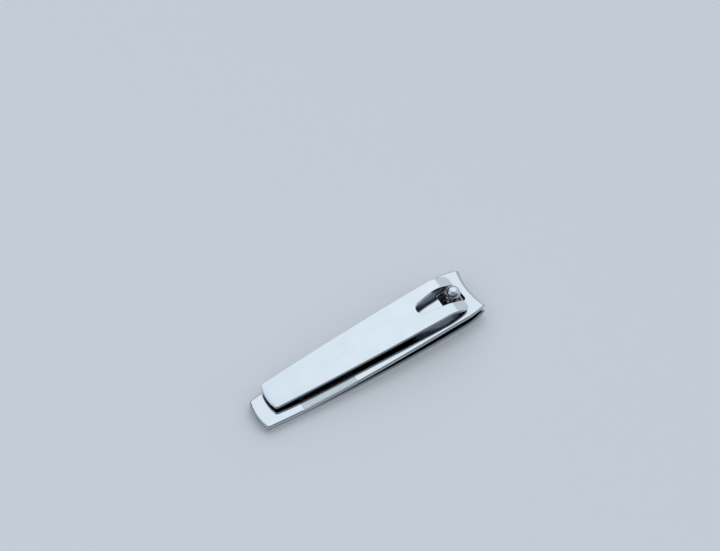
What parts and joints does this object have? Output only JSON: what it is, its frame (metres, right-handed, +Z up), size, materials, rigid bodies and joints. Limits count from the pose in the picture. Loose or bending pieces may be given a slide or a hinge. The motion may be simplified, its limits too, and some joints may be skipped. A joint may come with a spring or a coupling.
{
  "type": "nail clipper",
  "caption": "Lever nail clipper in its stored position: sprung steel arms joined at the rear, curved cutting jaws, a swivelling pin and a lever that folds flat along the top.",
  "frame": {"origin": "under the middle of the object, on the plane that the lower arm rests on", "axes": "+X from the joined rear end to the cutting jaws, +Z up through the lever, +Y across"},
  "size_m": [0.0636, 0.0138, 0.0093],
  "materials": {
    "arm_steel": "polished plate over pressed spring steel",
    "pin_steel": "polished, turned",
    "lever_steel": "satin plate on the flats, polished edges"
  },
  "bodies": {
    "lower_arm": {"lower_arm": "arm_steel"},
    "upper_arm": {"upper_arm": "arm_steel"},
    "pin": {"pin": "pin_steel"},
    "lever": {"lever": "lever_steel"}
  },
  "joints": [
    {"name": "jaw_close", "type": "hinge", "parent": "lower_arm", "child": "upper_arm", "pos_m": [-0.023, 0, 0.00125], "axis": [0, 1, 0], "range_deg": [0, 2], "stiffness_Nm_per_rad": 1},
    {"name": "pin_swivel", "type": "hinge", "parent": "lower_arm", "child": "pin", "pos_m": [0.0255, 0, 0], "axis": [0, 0, 1], "continuous": true},
    {"name": "lever_tilt", "type": "hinge", "parent": "pin", "child": "lever", "pos_m": [0.0268, -0.00005, 0.00607], "axis": [0.0384, 0.9993, 0], "range_deg": [0, 155]}
  ]
}
